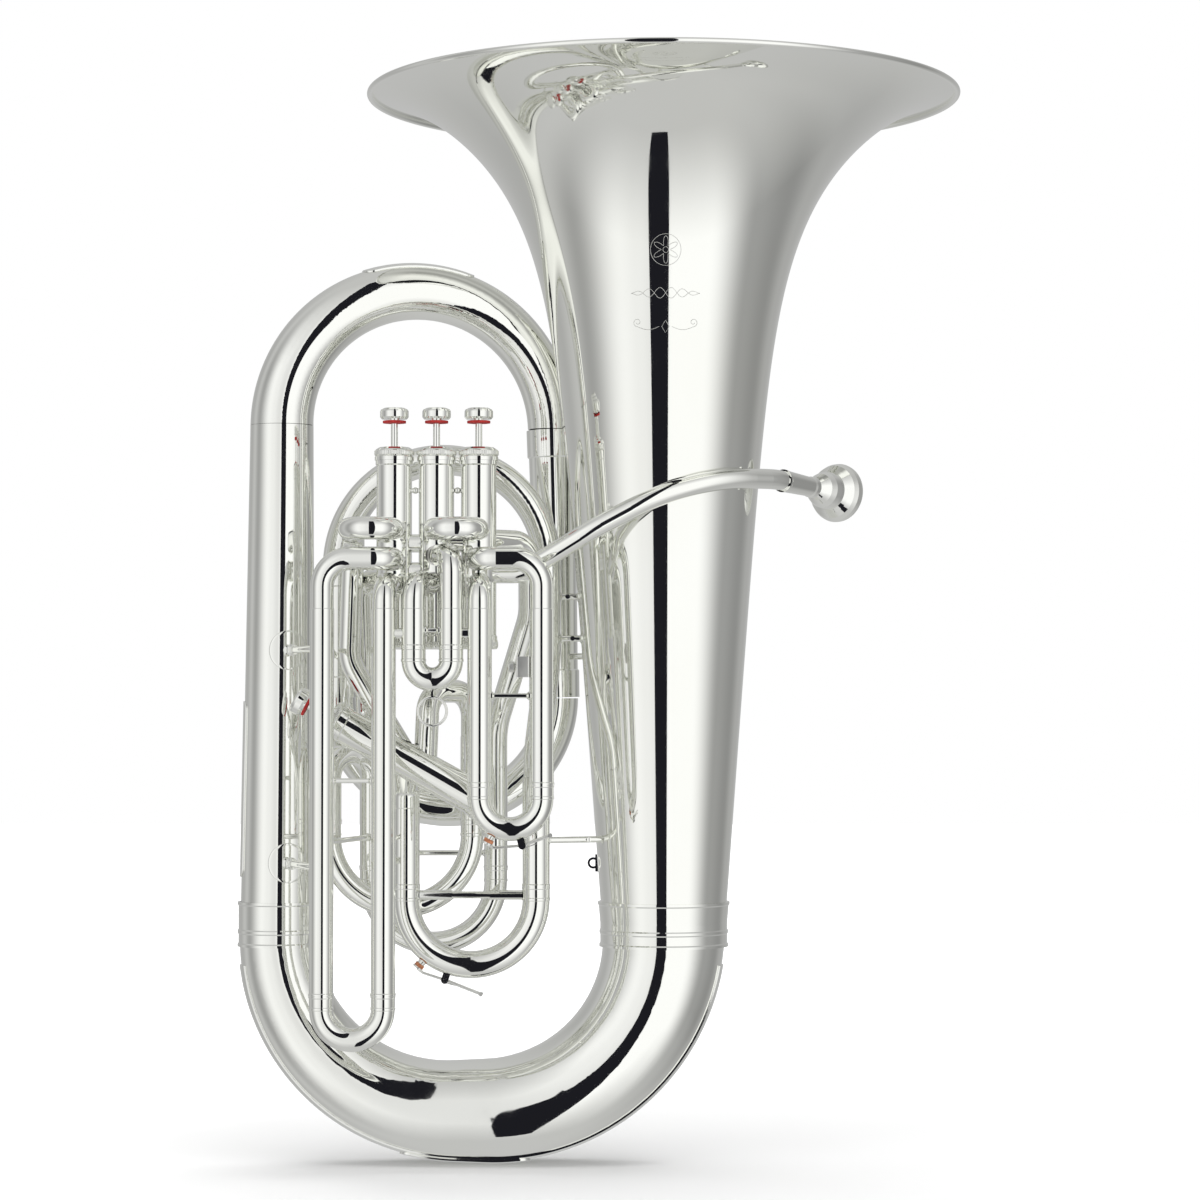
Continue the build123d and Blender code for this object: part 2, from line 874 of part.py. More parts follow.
with BuildPart() as second_slide_tubes:
    add(
        tube(
            [
                (second_legs[0], slide_y, second_sleeve_end),
                (second_legs[0], slide_y, 466.0),
                (valve_x[1], casing_y, 466.0),
            ],
            [16],
            tube_radius,
            tube_bore,
        )
    )
    add(
        tube(
            [
                (second_legs[1], slide_y, second_sleeve_end),
                (second_legs[1], slide_y, cross_port),
                (valve_x[1], casing_y, cross_port),
            ],
            [16],
            tube_radius,
            tube_bore,
        )
    )
    for x in second_legs:
        add(sleeve(x, slide_y, second_sleeve_end, sleeve_head))
    add(spindle(second_legs, 428))
    add(casing_void(valve_x[1]), mode=Mode.SUBTRACT)
second_slide_tubes.part.label = "second_slide_tubes"
export_step(second_slide_tubes.part, "parts/second_slide_tubes.step")

with BuildPart() as first_slide_tubes:
    add(
        tube(
            [
                (first_legs[0], slide_y, first_sleeve_end),
                (first_legs[0], slide_y, lower_port),
                (valve_x[0], casing_y, lower_port),
            ],
            [16],
            tube_radius,
            tube_bore,
        )
    )
    add(
        tube(
            [
                (first_legs[1], slide_y, first_sleeve_end),
                (first_legs[1], slide_y, middle_port),
                (valve_x[0], slide_y, middle_port),
                (valve_x[0], casing_y, middle_port),
            ],
            [22, 15],
            tube_radius,
            tube_bore,
        )
    )
    for x in first_legs:
        add(sleeve(x, slide_y, first_sleeve_end, sleeve_head))
    add(spindle(first_legs, 377))
    add(casing_void(valve_x[0]), mode=Mode.SUBTRACT)
first_slide_tubes.part.label = "first_slide_tubes"
export_step(first_slide_tubes.part, "parts/first_slide_tubes.step")

with BuildPart() as crook_1_2:
    add(
        tube(
            [
                (valve_x[1], casing_y, upper_port),
                (valve_x[1], slide_y - 1, upper_port),
                (valve_x[0], slide_y - 1, upper_port),
                (valve_x[0], casing_y, upper_port),
            ],
            [valve_pitch / 2 - 0.1, valve_pitch / 2 - 0.1],
            9.0,
            8.3,
        )
    )
    add(casing_void(valve_x[0]), mode=Mode.SUBTRACT)
    add(casing_void(valve_x[1]), mode=Mode.SUBTRACT)
crook_1_2.part.label = "crook_1_2"
export_step(crook_1_2.part, "parts/crook_1_2.step")

with BuildPart() as crook_3_4:
    add(
        tube(
            [
                (valve_x[2], casing_y, upper_port),
                (valve_x[2], slide_y - 1, upper_port),
                (valve_x[2] - valve_pitch, slide_y - 1, upper_port),
                (valve_x[2] - valve_pitch, -56, upper_port),
                (-199, -58, 404),
                fourth_point(72.5),
            ],
            [valve_pitch / 2 - 0.1, valve_pitch / 2 - 0.1, 16, 34],
            9.0,
            8.3,
        )
    )
    add(casing_void(valve_x[2]), mode=Mode.SUBTRACT)
    add(fourth_void(), mode=Mode.SUBTRACT)
crook_3_4.part.label = "crook_3_4"
export_step(crook_3_4.part, "parts/crook_3_4.step")

with BuildPart() as rear_link_3_4:
    add(
        tube(
            [
                (valve_x[2], casing_y, rear_port),
                (-190, -36, rear_port),
                (-186, -36, 352),
                fourth_point(27),
            ],
            [16, 16],
            8.7,
            8.0,
        )
    )
    add(casing_void(valve_x[2]), mode=Mode.SUBTRACT)
    add(fourth_void(), mode=Mode.SUBTRACT)
rear_link_3_4.part.label = "rear_link_3_4"
export_step(rear_link_3_4.part, "parts/rear_link_3_4.step")

# ---------------------------------------------------------------- main tuning slide
main_sleeve_radius = 10.9
main_leg_radius = 10.0
main_sleeve_bore = 10.05

with BuildPart() as main_slide_tubes:
    add(sleeve(main_right_x, main_y, main_sleeve_end, 311.9, main_sleeve_radius, main_sleeve_bore))
    add(sleeve(main_left_x, main_y, main_sleeve_end, 288, main_sleeve_radius, main_sleeve_bore))
    add(
        tube(
            [(main_left_x, main_y, 280), (main_left_x, main_y, 303), fourth_point(69.1)],
            [15],
            10.6,
            main_sleeve_bore,
        )
    )
    add(fourth_void(), mode=Mode.SUBTRACT)
main_slide_tubes.part.label = "main_slide_tubes"
export_step(main_slide_tubes.part, "parts/main_slide_tubes.step")


def slide_bow(legs, y, sleeve_end, leg_top, outer, leg, bore, fitting=None):
    """Bow of a slide with its ferrules and the two inner legs that run in the sleeves."""
    reach = (legs[1] - legs[0]) / 2
    top = sleeve_end - 0.4
    collar = 10.0
    bends = [reach - 0.05, reach - 0.05]
    low = top - collar - reach
    outside = [(legs[0], y, top - 1), (legs[0], y, low), (legs[1], y, low), (legs[1], y, top - 1)]
    over = leg_top + 5
    inside = [(legs[0], y, over), (legs[0], y, low), (legs[1], y, low), (legs[1], y, over)]
    with BuildPart() as bow:
        add(rod(outside, bends, outer))
        for x in legs:
            add(
                turned(
                    (x, y, top),
                    (0, 0, -1),
                    [
                        (0, 0),
                        (outer + 0.55, 0),
                        (outer + 0.55, 1.2),
                        (outer + 0.15, 1.8),
                        (outer + 0.15, collar - 1.6),
                        (outer + 0.5, collar - 1.0),
                        (outer + 0.5, collar + 0.6),
                        (outer - 0.2, collar + 1.2),
                        (0, collar + 1.2),
                    ],
                )
            )
            add(bar((x, y, top - 1), (0, 0, 1), leg, leg_top - top + 1))
        if fitting:
            add(fitting)
        add(rod(inside, bends, bore), mode=Mode.SUBTRACT)
    return bow.part


def key_point(middle, y, centre, degrees, reach):
    """Point at an angle round a bow: 0 is straight down, positive toward -X."""
    turn = math.radians(degrees)
    return (middle - reach * math.sin(turn), y, centre - reach * math.cos(turn))


def key_seat(middle, y, centre, outer, cork_at, pivot_at):
    """Nipple, saddle lugs and hinge pin of a water key, soldered to the bow."""
    with BuildPart() as seat:
        nipple = key_point(middle, y, centre, cork_at, outer - 1.0)
        down = Vector(*key_point(middle, y, centre, cork_at, outer)) - Vector(*nipple)
        add(turned(nipple, down, [(1.6, 0), (3.4, 0), (3.0, 3.4), (1.6, 3.4)]))
        pin = key_point(middle, y, centre, pivot_at, outer + 4.6)
        out = Vector(*pin) - Vector(*key_point(middle, y, centre, pivot_at, outer))
        for shift in (-5.6, 5.6 - 1.4):
            foot = key_point(middle, y + shift, centre, pivot_at, outer - 1.2)
            lug = Plane(origin=foot, x_dir=(0, 1, 0), z_dir=out)
            with BuildSketch(lug):
                with Locations((0.7, 0)):
                    Rectangle(1.4, 5.6)
            extrude(amount=5.8)
            add(bar((pin[0], pin[1] + shift, pin[2]), (0, 1, 0), 2.8, 1.4))
        add(bar((pin[0], pin[1] - 6.6, pin[2]), (0, 1, 0), 1.0, 13.2))
    return seat.part


main_mid = (main_left_x + main_right_x) / 2
main_centre = main_sleeve_end - 10.4
main_bend = (main_right_x - main_left_x) / 2
main_key = (main_mid, main_y, main_centre, main_bend + main_sleeve_radius)
first_mid = (first_legs[0] + first_legs[1]) / 2
first_centre = first_sleeve_end - 10.4
first_bend = (first_legs[1] - first_legs[0]) / 2
first_key = (first_mid, slide_y, first_centre, first_bend + tube_radius + 0.1)

main_legs = (main_left_x, main_right_x)
main_seat = key_seat(*main_key, 38, 18)
first_seat = key_seat(*first_key, 27, -14)
main_sizes = (main_sleeve_radius, main_leg_radius, 9.3)
small_sizes = (tube_radius + 0.1, leg_radius, leg_bore)

with BuildPart() as main_tuning_slide:
    add(slide_bow(main_legs, main_y, main_sleeve_end, 285.0, *main_sizes, main_seat))
    brace_run = [
        (main_left_x + main_sleeve_radius, main_y, 218.5),
        (main_right_x - main_sleeve_radius, main_y, 218.5),
    ]
    add(bar(brace_run[0], (1, 0, 0), 2.9, brace_run[1][0] - brace_run[0][0]))
    for end, way in ((brace_run[0], 1), (brace_run[1], -1)):
        add(bar(end, (way, 0, 0), 3.9, 26))
main_tuning_slide.part.label = "main_tuning_slide"
export_step(main_tuning_slide.part, "parts/main_tuning_slide.step")

with BuildPart() as third_slide:
    add(slide_bow(third_legs, slide_y, third_sleeve_end, 300.0, *small_sizes))
third_slide.part.label = "third_slide"
export_step(third_slide.part, "parts/third_slide.step")

with BuildPart() as second_slide:
    add(slide_bow(second_legs, slide_y, second_sleeve_end, 448.0, *small_sizes))
    second_bow_low = second_sleeve_end - 10.4 - (second_legs[1] - second_legs[0]) / 2 - tube_radius
    second_bow_mid = (second_legs[0] + second_legs[1]) / 2
    with BuildSketch(Plane.YZ.offset(second_bow_mid - 0.9)):
        with Locations((slide_y, second_bow_low - 2.4)):
            SlotOverall(8.4, 5.6, rotation=90)
    extrude(amount=1.8)
    add(bar((second_bow_mid - 5, slide_y, second_bow_low - 4.2), (1, 0, 0), 1.5, 10), mode=Mode.SUBTRACT)
second_slide.part.label = "second_slide"
export_step(second_slide.part, "parts/second_slide.step")

with BuildPart() as first_slide:
    add(slide_bow(first_legs, slide_y, first_sleeve_end, 420.0, *small_sizes, first_seat))
first_slide.part.label = "first_slide"
export_step(first_slide.part, "parts/first_slide.step")

ring_middle = 12.25 - 1.1
with BuildPart() as pull_ring:
    with BuildSketch(Plane.YZ.offset(second_bow_mid)):
        with Locations((slide_y, second_bow_low - 4.2 - 0.25)):
            Circle(1.1)
    revolve(axis=Axis((second_bow_mid, slide_y, second_bow_low - 4.45 - ring_middle), (0, 1, 0)))
pull_ring.part.label = "pull_ring"
export_step(pull_ring.part, "parts/pull_ring.step")

# ---------------------------------------------------------------- fourth valve loop and return slide
loop_legs = (-217.4, -102.5)
return_legs = (-185.2, -84.3)
loop_sleeve_end = 276.0
return_sleeve_end = 238.0
arch_height = 331.0

with BuildPart() as loop_link:
    loop_gap = math.hypot(return_legs[0] - loop_legs[0], return_y - loop_y)
    add(
        tube(
            [
                (loop_legs[0], loop_y, loop_sleeve_end),
                (loop_legs[0], loop_y, arch_height),
                (return_legs[0], return_y, arch_height),
                (return_legs[0], return_y, return_sleeve_end),
            ],
            [loop_gap / 2 - 0.1, loop_gap / 2 - 0.1],
            tube_radius,
            tube_bore,
        )
    )
    add(sleeve(loop_legs[0], loop_y, loop_sleeve_end, 308))
    add(sleeve(return_legs[0], return_y, return_sleeve_end, 308))
loop_link.part.label = "loop_link"
export_step(loop_link.part, "parts/loop_link.step")

with BuildPart() as loop_arch:
    add(
        tube(
            [
                (loop_legs[1], loop_y, loop_sleeve_end),
                (loop_legs[1], loop_y, 381),
                (-136, -58, 381),
                fourth_point(86.2),
            ],
            [21, 21],
            tube_radius,
            tube_bore,
        )
    )
    add(sleeve(loop_legs[1], loop_y, loop_sleeve_end, 345))
    add(fourth_void(), mode=Mode.SUBTRACT)
loop_arch.part.label = "loop_arch"
export_step(loop_arch.part, "parts/loop_arch.step")

with BuildPart() as return_tube:
    add(
        tube(
            [
                (return_legs[1], return_y, return_sleeve_end),
                (return_legs[1], return_y, 352),
                (-56, -32, 442),
                (-56, -40, return_port),
                (valve_x[0], casing_y, return_port),
            ],
            [50, 40, 18],
            tube_radius,
            tube_bore,
        )
    )
    add(sleeve(return_legs[1], return_y, return_sleeve_end, 320))
    add(casing_void(valve_x[0]), mode=Mode.SUBTRACT)
return_tube.part.label = "return_tube"
export_step(return_tube.part, "parts/return_tube.step")

with BuildPart() as fourth_slide:
    add(slide_bow(loop_legs, loop_y, loop_sleeve_end, 308.0, *small_sizes))
fourth_slide.part.label = "fourth_slide"
export_step(fourth_slide.part, "parts/fourth_slide.step")

with BuildPart() as return_slide:
    add(slide_bow(return_legs, return_y, return_sleeve_end, 306.0, *small_sizes))
return_slide.part.label = "return_slide"
export_step(return_slide.part, "parts/return_slide.step")

# ---------------------------------------------------------------- leadpipe, receiver, mouthpiece
receiver_start = Vector(146, -41, 549.7)
receiver_way = Vector(0.61, 0.79, -0.076).normalized()
receiver_mouth = 45.0       # length of the receiver
lead_radius = 8.0
lead_bends = [22, 120, 120, 130, 60]
with BuildPart() as leadpipe:
    lead_line = [
        (valve_x[0], casing_y, lead_port),
        (-62, -77, lead_port),
        (-6.9, -90, 507.3),
        (43.4, -93, 533.9),
        (95.1, -81, 549.5),
        tuple(receiver_start - receiver_way * 8),
        tuple(receiver_start + receiver_way * 8),
    ]
    add(tube(lead_line, lead_bends, lead_radius, lead_radius - 0.8))
    add(casing_void(valve_x[0]), mode=Mode.SUBTRACT)
leadpipe.part.label = "leadpipe"
export_step(leadpipe.part, "parts/leadpipe.step")

with BuildPart() as mouthpiece_receiver:
    add(
        turned(
            tuple(receiver_start),
            tuple(receiver_way),
            [
                (lead_radius + 0.05, 1.0),
                (lead_radius + 1.2, 1.0),
                (lead_radius + 1.2, 3.0),
                (lead_radius + 0.8, 4.0),
                (7.9, receiver_mouth - 7),
                (8.5, receiver_mouth - 5),
                (8.5, receiver_mouth - 0.6),
                (8.1, receiver_mouth),
                (6.4, receiver_mouth),
                (5.6, 19.0),
                (5.6, 8.1),
                (lead_radius + 0.05, 8.1),
            ],
        )
    )
mouthpiece_receiver.part.label = "mouthpiece_receiver"
export_step(mouthpiece_receiver.part, "parts/mouthpiece_receiver.step")

with BuildPart() as mouthpiece:
    add(
        turned(
            tuple(receiver_start),
            tuple(receiver_way),
            [
                (4.7, 22.0),
                (5.62, 22.0),
                (6.35, receiver_mouth),
                (6.8, 47.0),
                (9.6, 50.0),
                (12.6, 54.0),
                (14.6, 59.0),
                (15.3, 64.0),
                (15.6, 67.5),
                (18.4, 70.0),
                (21.6, 73.0),
                (23.4, 77.0),
                (24.0, 80.0),
                (23.6, 82.4),
                (21.2, 84.0),
                (18.6, 83.3),
                (16.6, 81.0),
                (14.2, 76.0),
                (12.6, 68.0),
                (10.4, 60.0),
                (6.6, 54.5),
                (4.1, 51.0),
                (4.1, 45.0),
            ],
        )
    )
mouthpiece.part.label = "mouthpiece"
export_step(mouthpiece.part, "parts/mouthpiece.step")

# ---------------------------------------------------------------- water keys
def key_lever(middle, y, centre, outer, cork_at, pivot_at, tip_at, tip_rise):
    """Lever of a water key: cork cup, hinge barrel and a touch plate."""
    pin = key_point(middle, y, centre, pivot_at, outer + 4.6)
    cup = key_point(middle, y, centre, cork_at, outer + 5.2)
    tip = key_point(middle, y, centre, tip_at, outer + tip_rise)
    down = Vector(*cup) - Vector(*key_point(middle, y, centre, cork_at, outer))
    with BuildPart() as lever:
        add(bar(cup, down, 4.4, 1.6))
        add(bar((pin[0], pin[1] - 3.9, pin[2]), (0, 1, 0), 2.3, 7.8))
        across = Vector(-down.Z, 0, down.X)
        heel = along(cup, down, 1.6)
        add(rod([heel, along(heel, across, 6.0), pin], [4], 1.1))
        add(rod([pin, tip], [], 1.3))
        add(bar(along(tip, (0, -1, 0), 4.4), (0, 1, 0), 1.6, 8.8))
        add(bar((pin[0], pin[1] - 5, pin[2]), (0, 1, 0), 1.05, 10), mode=Mode.SUBTRACT)
    return lever.part


def key_cork(middle, y, centre, outer, cork_at):
    """Cork pad that closes the nipple."""
    seat = key_point(middle, y, centre, cork_at, outer + 2.45)
    down = Vector(*seat) - Vector(*key_point(middle, y, centre, cork_at, outer))
    return bar(seat, down, 3.9, 2.7)


with BuildPart() as water_key_1:
    add(key_lever(*main_key, 38, 18, -6, 13))
water_key_1.part.label = "water_key_1"
export_step(water_key_1.part, "parts/water_key_1.step")

with BuildPart() as water_key_1_cork:
    add(key_cork(*main_key, 38))
water_key_1_cork.part.label = "water_key_1_cork"
export_step(water_key_1_cork.part, "parts/water_key_1_cork.step")

with BuildPart() as water_key_2:
    add(key_lever(*first_key, 27, -14, -47, 9))
water_key_2.part.label = "water_key_2"
export_step(water_key_2.part, "parts/water_key_2.step")

with BuildPart() as water_key_2_cork:
    add(key_cork(*first_key, 27))
water_key_2_cork.part.label = "water_key_2_cork"
export_step(water_key_2_cork.part, "parts/water_key_2_cork.step")

# ---------------------------------------------------------------- lyre box
lyre_x = first_legs[1] - sleeve_radius - 4.9
lyre_z = 391.5

with BuildPart() as lyre_box:
    with BuildSketch(Plane.XY.offset(lyre_z)):
        with Locations((lyre_x, slide_y)):
            RectangleRounded(10.4, 11, 1.2)
            Rectangle(4.2, 4.2, mode=Mode.SUBTRACT)
    extrude(amount=16)
    add(bar((first_legs[1], slide_y, lyre_z - 20), (0, 0, 1), sleeve_radius + 0.05, 60), mode=Mode.SUBTRACT)
    add(bar((lyre_x, slide_y, lyre_z + 8), (-1, 0, 0), 1.55, 20), mode=Mode.SUBTRACT)
lyre_box.part.label = "lyre_box"
export_step(lyre_box.part, "parts/lyre_box.step")

with BuildPart() as lyre_screw:
    add(
        turned(
            (lyre_x - 2.4, slide_y, lyre_z + 8),
            (-1, 0, 0),
            [
                (0, 0),
                (1.5, 0),
                (1.5, 3.6),
                (3.0, 3.9),
                (4.3, 4.8),
                (4.3, 8.0),
                (3.4, 9.0),
                (0, 9.2),
            ],
        )
    )
lyre_screw.part.label = "lyre_screw"
export_step(lyre_screw.part, "parts/lyre_screw.step")

# ---------------------------------------------------------------- braces
bell_skin = [(0, bell_foot - 10)]
for step in range(0, 46):
    level = bell_foot - 10 + step * 10
    bell_skin.append((bell_radius(rim_height - level) + 0.1, level))
bell_skin.append((0, bell_foot + 440))
bell_space = turned((bell_x, 0, 0), (0, 0, 1), bell_skin)


def upright_space(x, y, radius):
    """Space taken by an upright tube."""
    return bar((x, y, 100), (0, 0, 1), radius + 0.05, 500)


def stay(first, first_radius, second, second_radius, thickness=2.6, foot=5.2):
    """Brace between two tubes, its flanges sunk a little so they can be shaped to the tubes."""
    way = Vector(*second) - Vector(*first)
    begin = along(first, way, first_radius - 1.4)
    finish = along(second, way * -1, second_radius - 1.4)
    return strut(tuple(begin), tuple(finish), thickness, foot)


def toward_bell(x, y, z, radius):
    """Brace from a tube at a point to the bell at the same height."""
    return stay((x, y, z), radius, (bell_x, 0, z), bell_radius(rim_height - z))


with BuildPart() as leadpipe_stays:
    add(toward_bell(43.4, -92.4, 534.2, lead_radius))
    add(toward_bell(134.0, -51.5, 549.8, lead_radius - 0.8))
    add(bell_space, mode=Mode.SUBTRACT)
    add(rod(lead_line, lead_bends, lead_radius + 0.05), mode=Mode.SUBTRACT)

with BuildPart() as strap_ring:
    lug_z = 242.0
    lug_x = bell_x - bell_radius(rim_height - lug_z)
    with BuildSketch(Plane.XZ.offset(-1.2)):
        with Locations((lug_x - 3.6, lug_z)):
            Circle(4.6)
            Circle(2.8, mode=Mode.SUBTRACT)
        with Locations((lug_x, lug_z)):
            Rectangle(4, 14)
    extrude(amount=2.4)
    add(bell_space, mode=Mode.SUBTRACT)

with BuildPart() as bell_stays:
    add(toward_bell(-42.6, 5.0, 458.0, 11.0))
    add(toward_bell(-42.6, 5.0, 424.0, 11.0))
    add(toward_bell(-35.6, rear_y, 410.0, 16.5))
    add(toward_bell(main_right_x, main_y, 262.0, main_sleeve_radius))
    add(bell_space, mode=Mode.SUBTRACT)
    add(taper(upper_line, upper_bends, 13.45, 10.05, 34, upper_side), mode=Mode.SUBTRACT)
    add(taper(second_line, [], 19.65, 16.65, 1), mode=Mode.SUBTRACT)
    add(upright_space(main_right_x, main_y, main_sleeve_radius), mode=Mode.SUBTRACT)
    add(leadpipe_stays.part)
    add(strap_ring.part)
bell_stays.part.label = "bell_stays"
export_step(bell_stays.part, "parts/bell_stays.step")

with BuildPart() as branch_stays:
    for level, branch_radius in ((414, 27.5), (243, 29.4)):
        branch_side = (branch_x + (level - bell_foot) * 0.006, 0, level)
        slide_side = (third_legs[0], slide_y, level)
        add(stay(branch_side, branch_radius, slide_side, sleeve_radius, 3.0, 7.0))
    add(stay((-259.6, 0, 436), 27.3, (*lower_left, 436), 13.8, 3.0, 6.0))
    add(taper(branch_line, [], branch_foot_radius + 0.05, branch_top_radius + 0.05, 1), mode=Mode.SUBTRACT)
    add(taper(third_line, [], 14.85, 13.45, 1), mode=Mode.SUBTRACT)
    add(upright_space(third_legs[0], slide_y, sleeve_radius), mode=Mode.SUBTRACT)
branch_stays.part.label = "branch_stays"
export_step(branch_stays.part, "parts/branch_stays.step")

with BuildPart() as slide_stays:
    add(bar((third_legs[1], slide_y, 425.6), (1, 0, 0), 4.0, second_legs[0] - third_legs[1]))
    add(bar((second_legs[1], slide_y, 425.6), (1, 0, 0), 4.0, first_legs[0] - second_legs[1]))
    cross_ends = [
        ((return_legs[0], return_y, 263), (third_legs[0], slide_y, 263)),
        ((return_legs[0], return_y, 250), (return_legs[1], return_y, 250)),
    ]
    for left_end, right_end in cross_ends:
        add(stay(left_end, sleeve_radius, right_end, sleeve_radius, 2.2, 4.0))
    for x in (third_legs[0], third_legs[1], second_legs[0], second_legs[1], first_legs[0]):
        add(upright_space(x, slide_y, sleeve_radius), mode=Mode.SUBTRACT)
    for x in return_legs:
        add(upright_space(x, return_y, sleeve_radius), mode=Mode.SUBTRACT)
slide_stays.part.label = "slide_stays"
export_step(slide_stays.part, "parts/slide_stays.step")
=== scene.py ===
import json
import math

import bmesh
import bpy
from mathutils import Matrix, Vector
from mathutils.bvhtree import BVHTree


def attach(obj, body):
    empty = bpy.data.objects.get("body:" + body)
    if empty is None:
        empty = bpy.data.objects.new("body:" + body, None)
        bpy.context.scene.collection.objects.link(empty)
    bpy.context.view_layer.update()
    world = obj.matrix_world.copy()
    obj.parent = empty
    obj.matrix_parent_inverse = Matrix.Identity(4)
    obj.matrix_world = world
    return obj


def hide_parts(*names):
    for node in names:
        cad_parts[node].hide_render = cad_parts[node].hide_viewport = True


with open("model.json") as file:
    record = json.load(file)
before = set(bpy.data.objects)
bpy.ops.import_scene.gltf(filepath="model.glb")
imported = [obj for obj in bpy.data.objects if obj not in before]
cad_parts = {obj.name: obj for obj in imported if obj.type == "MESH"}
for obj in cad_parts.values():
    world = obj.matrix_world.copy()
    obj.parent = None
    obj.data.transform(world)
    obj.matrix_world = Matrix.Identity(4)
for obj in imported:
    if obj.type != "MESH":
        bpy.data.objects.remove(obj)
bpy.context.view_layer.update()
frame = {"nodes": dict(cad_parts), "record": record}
nodes = frame["nodes"]


# ------------------------------------------------------------------ materials
# Socket numbers of a colour mix node, whose sockets share their names with those for numbers.
MIX_SHARE = 0
MIX_FIRST = 6
MIX_SECOND = 7
MIX_RESULT = 2


def new_material(name):
    """Empty node material with a Principled shader and its output."""
    material = bpy.data.materials.new(name)
    material.use_nodes = True
    tree = material.node_tree
    tree.nodes.clear()
    output = tree.nodes.new("ShaderNodeOutputMaterial")
    shader = tree.nodes.new("ShaderNodeBsdfPrincipled")
    tree.links.new(shader.outputs["BSDF"], output.inputs["Surface"])
    return material, tree, shader


def noise(tree, scale, detail=4.0):
    """Noise in object space, in turns per metre."""
    coords = tree.nodes.new("ShaderNodeTexCoord")
    texture = tree.nodes.new("ShaderNodeTexNoise")
    texture.inputs["Scale"].default_value = scale
    texture.inputs["Detail"].default_value = detail
    tree.links.new(coords.outputs["Object"], texture.inputs["Vector"])
    return texture.outputs["Fac"]


def ramp(tree, value, low, high, start=0.35, end=0.65):
    """Map a grey value to a range of numbers."""
    node = tree.nodes.new("ShaderNodeMapRange")
    node.inputs["From Min"].default_value = start
    node.inputs["From Max"].default_value = end
    node.inputs["To Min"].default_value = low
    node.inputs["To Max"].default_value = high
    tree.links.new(value, node.inputs["Value"])
    return node.outputs["Result"]


def mix_node(tree, share):
    """Colour mix node driven by a grey value."""
    node = tree.nodes.new("ShaderNodeMix")
    node.data_type = "RGBA"
    tree.links.new(share, node.inputs[MIX_SHARE])
    return node


def blend_colour(tree, value, first, second):
    """Mix two colours by a grey value."""
    node = mix_node(tree, value)
    node.inputs[MIX_FIRST].default_value = (*first, 1)
    node.inputs[MIX_SECOND].default_value = (*second, 1)
    return node.outputs[MIX_RESULT]


def relief_node(tree, height, strength, distance):
    """Bump from a grey value; distance is in metres."""
    node = tree.nodes.new("ShaderNodeBump")
    node.inputs["Strength"].default_value = strength
    node.inputs["Distance"].default_value = distance
    tree.links.new(height, node.inputs["Height"])
    return node


def metal(name, bright, warm, rough_low, rough_high, bump):
    """Plated metal: slow tint drift, faint polishing marks and soft smudges."""
    material, tree, shader = new_material(name)
    shader.inputs["Metallic"].default_value = 1.0
    drift = ramp(tree, noise(tree, 9.0), 0, 1)
    tree.links.new(blend_colour(tree, drift, bright, warm), shader.inputs["Base Color"])
    smudge = noise(tree, 46.0, 6.0)
    tree.links.new(ramp(tree, smudge, rough_low, rough_high), shader.inputs["Roughness"])
    relief = relief_node(tree, noise(tree, 900.0, 2.0), bump, 0.0002)
    tree.links.new(relief.outputs["Normal"], shader.inputs["Normal"])
    return material


def soft(name, base, dark, rough, scale, bump):
    """Felt or cork: mottled colour over a fine rough surface."""
    material, tree, shader = new_material(name)
    grain = noise(tree, scale, 8.0)
    tint = blend_colour(tree, ramp(tree, grain, 0, 1), base, dark)
    tree.links.new(tint, shader.inputs["Base Color"])
    shader.inputs["Roughness"].default_value = rough
    relief = relief_node(tree, grain, bump, 0.0004)
    tree.links.new(relief.outputs["Normal"], shader.inputs["Normal"])
    return material


silver = metal("silver_plate", (0.955, 0.962, 0.925), (0.94, 0.945, 0.90), 0.02, 0.055, 0.004)
satin = metal("satin_silver", (0.93, 0.935, 0.90), (0.90, 0.905, 0.87), 0.26, 0.36, 0.02)
engraving = metal("engraving", (0.78, 0.78, 0.75), (0.70, 0.70, 0.67), 0.40, 0.55, 0.05)
nickel = metal("lapped_nickel", (0.80, 0.79, 0.76), (0.70, 0.69, 0.67), 0.18, 0.30, 0.03)
steel = metal("spring_wire", (0.62, 0.62, 0.62), (0.50, 0.50, 0.50), 0.25, 0.40, 0.03)
felt = soft("red_felt", (0.50, 0.035, 0.03), (0.30, 0.015, 0.015), 0.95, 700.0, 0.6)
cork = soft("key_cork", (0.62, 0.26, 0.13), (0.36, 0.13, 0.06), 0.75, 500.0, 0.4)

by_slot = {
    "silver_plate": silver,
    "piston_nickel": nickel,
    "spring_steel": steel,
    "red_felt": felt,
    "key_cork": cork,
}
slots = {entry["node"]: entry["material_slot"] for entry in frame["record"]["subparts"]}
for name, obj in nodes.items():
    obj.data.materials.clear()
    obj.data.materials.append(by_slot[slots[name]])
for name in ("lyre_box", "lyre_screw", "water_key_1", "water_key_2"):
    nodes[name].data.materials[0] = satin


# ------------------------------------------------------------------ mesh building
def millimetres(values):
    """Lengths are written in millimetres and kept in metres."""
    return Vector([value / 1000 for value in values])


def add_piece(name, verts, faces, material, body, rounded=True):
    """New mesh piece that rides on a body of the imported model."""
    mesh = bpy.data.meshes.new(name)
    mesh.from_pydata([tuple(v) for v in verts], [], faces)
    mesh.validate()
    work = bmesh.new()
    work.from_mesh(mesh)
    bmesh.ops.remove_doubles(work, verts=work.verts, dist=1e-7)
    bmesh.ops.recalc_face_normals(work, faces=work.faces)
    work.to_mesh(mesh)
    work.free()
    mesh.materials.append(material)
    if rounded:
        mesh.shade_smooth()
    obj = bpy.data.objects.new(name, mesh)
    bpy.context.scene.collection.objects.link(obj)
    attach(obj, body)
    return obj


